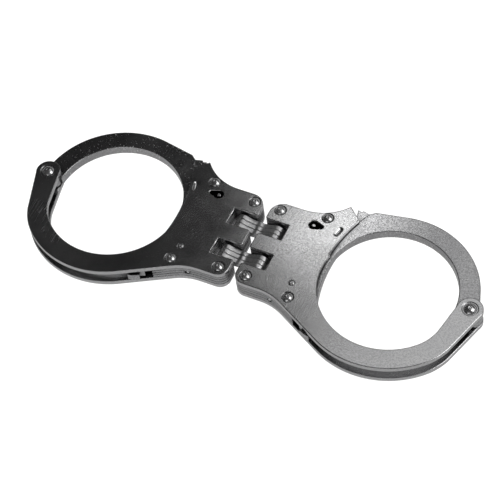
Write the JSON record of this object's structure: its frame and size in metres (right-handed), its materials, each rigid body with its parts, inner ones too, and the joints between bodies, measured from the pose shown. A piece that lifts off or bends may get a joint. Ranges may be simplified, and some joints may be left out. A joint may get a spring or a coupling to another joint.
{
  "type": "hinged handcuffs",
  "caption": "Pair of riveted steel-plate wrist cuffs joined by a double hinge, each with a swing-through toothed bow, spring pawl, double-lock bar and key post.",
  "frame": {"origin": "middle of the pair's box on its flat rear face", "axes": "+X from the left cuff to the right cuff along the pair, +Y from the double bows towards the ratchet bows, +Z out of the keyhole face"},
  "size_m": [0.2142, 0.0796, 0.011],
  "materials": {
    "plated_plate": "nickel plated, tumbled, fine scratches",
    "plated_bow": "nickel plated, ground edges",
    "spacer_steel": "plated stamped edge",
    "rivet_steel": "polished dome",
    "lock_steel": "plain steel",
    "spring_steel": "blued spring steel",
    "link_steel": "bright nickel plate"
  },
  "bodies": {
    "left_cuff": {"left_front_cheek": "plated_plate", "left_rear_cheek": "plated_plate", "left_front_spacer": "spacer_steel", "left_middle_spacer": "spacer_steel", "left_toe_spacer": "spacer_steel", "left_rear_spacer": "spacer_steel", "left_pivot_rivet": "rivet_steel", "left_body_rivets": "rivet_steel", "left_pawl_pin": "rivet_steel", "left_pawl_spring": "spring_steel", "left_key_post": "rivet_steel", "left_hinge_pin": "lock_steel"},
    "hinge_links": {"upper_link_plates": "link_steel", "lower_link_plates": "link_steel"},
    "right_cuff": {"right_front_cheek": "plated_plate", "right_rear_cheek": "plated_plate", "right_front_spacer": "spacer_steel", "right_middle_spacer": "spacer_steel", "right_toe_spacer": "spacer_steel", "right_rear_spacer": "spacer_steel", "right_pivot_rivet": "rivet_steel", "right_body_rivets": "rivet_steel", "right_pawl_pin": "rivet_steel", "right_pawl_spring": "spring_steel", "right_key_post": "rivet_steel", "right_hinge_pin": "lock_steel"},
    "left_bow": {"left_ratchet_bow": "plated_bow"},
    "left_pawl": {"left_pawl": "lock_steel"},
    "left_double_lock": {"left_lock_bar": "lock_steel", "left_lock_pin": "rivet_steel"},
    "right_bow": {"right_ratchet_bow": "plated_bow"},
    "right_pawl": {"right_pawl": "lock_steel"},
    "right_double_lock": {"right_lock_bar": "lock_steel", "right_lock_pin": "rivet_steel"}
  },
  "joints": [
    {"name": "left_hinge", "type": "hinge", "parent": "left_cuff", "child": "hinge_links", "pos_m": [-0.0081, 0.002, 0.00495], "axis": [0, 1, 0], "range_deg": [-90, 90]},
    {"name": "right_hinge", "type": "hinge", "parent": "hinge_links", "child": "right_cuff", "pos_m": [0.0081, 0.002, 0.00495], "axis": [0, 1, 0], "range_deg": [-90, 90]},
    {"name": "left_bow_pivot", "type": "hinge", "parent": "left_cuff", "child": "left_bow", "pos_m": [-0.1015, 0.0029, 0.00495], "axis": [0, 0, -1], "continuous": true},
    {"name": "left_pawl_pivot", "type": "hinge", "parent": "left_cuff", "child": "left_pawl", "pos_m": [-0.0265, -0.0125, 0.00495], "axis": [0, 0, 1], "range_deg": [0, 7]},
    {"name": "left_double_lock_slide", "type": "slide", "parent": "left_cuff", "child": "left_double_lock", "axis": [0, 1, 0], "range_m": [0, 0.0015]},
    {"name": "right_bow_pivot", "type": "hinge", "parent": "right_cuff", "child": "right_bow", "pos_m": [0.1015, 0.0029, 0.00495], "axis": [0, 0, 1], "continuous": true},
    {"name": "right_pawl_pivot", "type": "hinge", "parent": "right_cuff", "child": "right_pawl", "pos_m": [0.0265, -0.0125, 0.00495], "axis": [0, 0, -1], "range_deg": [0, 7]},
    {"name": "right_double_lock_slide", "type": "slide", "parent": "right_cuff", "child": "right_double_lock", "axis": [0, 1, 0], "range_m": [0, 0.0015]}
  ]
}
